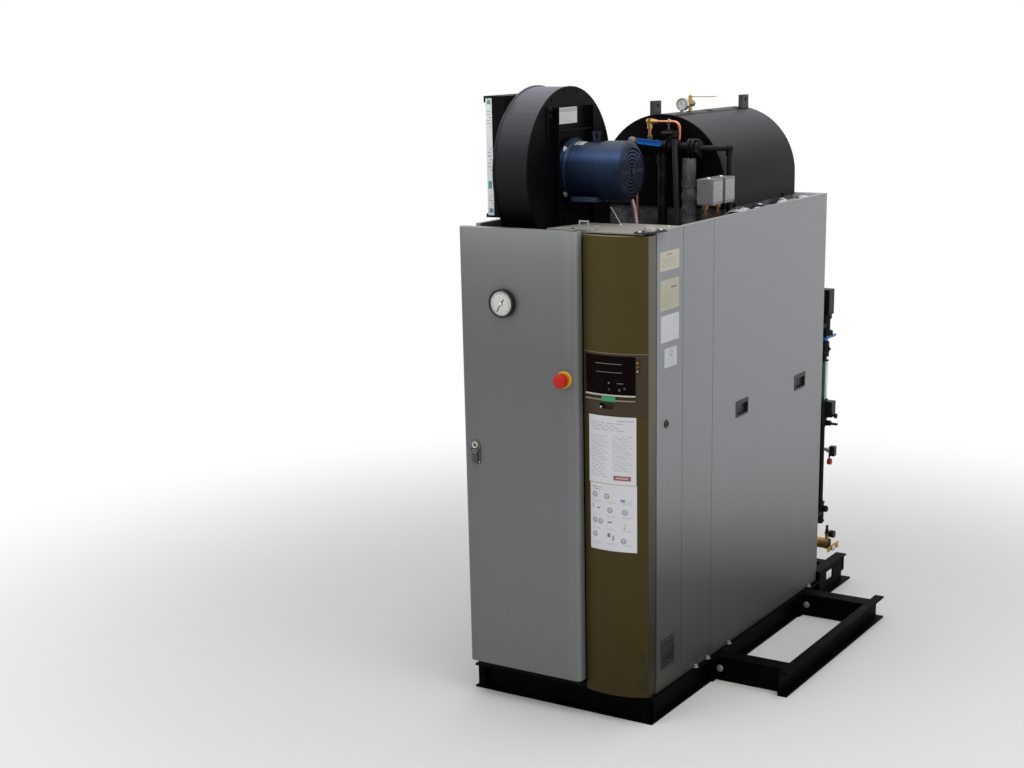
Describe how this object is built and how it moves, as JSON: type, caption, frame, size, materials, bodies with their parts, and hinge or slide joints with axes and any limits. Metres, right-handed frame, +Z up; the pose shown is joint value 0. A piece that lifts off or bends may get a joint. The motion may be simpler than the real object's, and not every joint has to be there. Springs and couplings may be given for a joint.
{
  "type": "industrial steam boiler",
  "caption": "Packaged steam boiler in a grey sheet-metal cabinet on a black steel skid, with a bronze control column, roof blower, insulated drum and valve piping.",
  "frame": {"origin": "on the floor under the middle of the cabinet, on the underside of the skid's middle cross member", "axes": "+X to the cabinet's right as seen from in front of its door, +Y from the door to the back, +Z up"},
  "size_m": [1.132, 2.12, 2.346],
  "materials": {
    "bare_steel": "flame-cut plate",
    "barrel_black": "satin black sheet",
    "brass": "satin",
    "conduit_grey": "ribbed",
    "copper": "bare copper",
    "cover_beige": "satin beige paint",
    "cover_bronze": "metallic bronze paint",
    "door_silver": "silver-grey paint",
    "filter_white": "matt card",
    "foil_dark": "crinkled foil",
    "jacket_steel": "plain jacket sheet",
    "latch_grey": "brushed",
    "lever_blue": "vinyl sleeve",
    "lever_yellow": "vinyl sleeve",
    "motor_blue": "satin blue paint",
    "panel_grey": "satin light grey paint",
    "pipe_black": "black oxide",
    "plastic_black": "matt",
    "screen_black": "gloss",
    "sheet_black": "satin black paint",
    "skid_black": "satin black paint",
    "stop_red": "satin",
    "stop_yellow": "satin",
    "switch_grey": "satin grey"
  },
  "bodies": {
    "boiler": {"skid_rail_left": "skid_black", "skid_rail_right": "skid_black", "skid_cross_members": "skid_black", "outrigger_channel": "skid_black", "outrigger_arms": "skid_black", "base_frame": "panel_grey", "front_frame": "sheet_black", "side_strip": "panel_grey", "narrow_panel": "panel_grey", "wide_panel": "panel_grey", "panel_pulls": "plastic_black", "left_panels": "panel_grey", "back_panel": "panel_grey", "top_deck": "sheet_black", "column_top": "cover_beige", "column_case": "panel_grey", "cover_hinge_plate": "plastic_black", "boiler_vessel": "jacket_steel", "blower_housing": "sheet_black", "filter_box": "sheet_black", "filter_panel": "filter_white", "motor_body": "motor_blue", "motor_fan_cover": "motor_blue", "motor_conduit": "conduit_grey", "barrel": "barrel_black", "lifting_lugs": "bare_steel", "barrel_gauge": "brass", "gas_pipes": "pipe_black", "wrapped_riser": "foil_dark", "copper_tube": "copper", "pressure_switches": "switch_grey", "rear_pipes": "pipe_black", "rear_valves": "brass"},
    "door": {"door": "door_silver", "door_gauge": "plastic_black", "stop_collar": "stop_yellow", "latch_plate": "plastic_black"},
    "stop": {"stop_button": "stop_red"},
    "latch": {"latch_flap": "latch_grey"},
    "cover": {"column_cover": "cover_bronze", "operator_panel": "screen_black"},
    "gas_lever": {"gas_valve_lever": "lever_blue"},
    "drum_lever": {"barrel_valve_lever": "brass"},
    "upper_lever": {"rear_upper_lever": "lever_blue"},
    "lower_lever": {"rear_lower_lever": "lever_yellow"}
  },
  "joints": [
    {"name": "door_hinge", "type": "hinge", "parent": "boiler", "child": "door", "pos_m": [0.101, -0.823, 1], "axis": [0, 0, 1], "range_deg": [0, 90]},
    {"name": "cover_hinge", "type": "hinge", "parent": "boiler", "child": "cover", "pos_m": [0.374, -0.757, 1], "axis": [0, 0, 1], "range_deg": [0, 100]},
    {"name": "stop_press", "type": "slide", "parent": "door", "child": "stop", "axis": [0, 1, 0], "range_m": [0, 0.005]},
    {"name": "latch_lift", "type": "hinge", "parent": "door", "child": "latch", "pos_m": [-0.327, -0.856, 1.006], "axis": [-1, 0, 0], "range_deg": [0, 60]},
    {"name": "gas_lever_turn", "type": "hinge", "parent": "boiler", "child": "gas_lever", "pos_m": [-0.08, -0.041, 2.118], "axis": [0, -1, 0], "range_deg": [0, 90]},
    {"name": "drum_lever_turn", "type": "hinge", "parent": "boiler", "child": "drum_lever", "pos_m": [0, 0.3, 2.273], "axis": [0, 0, 1], "range_deg": [0, 90]},
    {"name": "upper_lever_turn", "type": "hinge", "parent": "boiler", "child": "upper_lever", "pos_m": [0.35, 0.95, 1.198], "axis": [0, 0, -1], "range_deg": [0, 90]},
    {"name": "lower_lever_turn", "type": "hinge", "parent": "boiler", "child": "lower_lever", "pos_m": [0.406, 0.95, 0.23], "axis": [-1, 0, 0], "range_deg": [0, 90]}
  ]
}
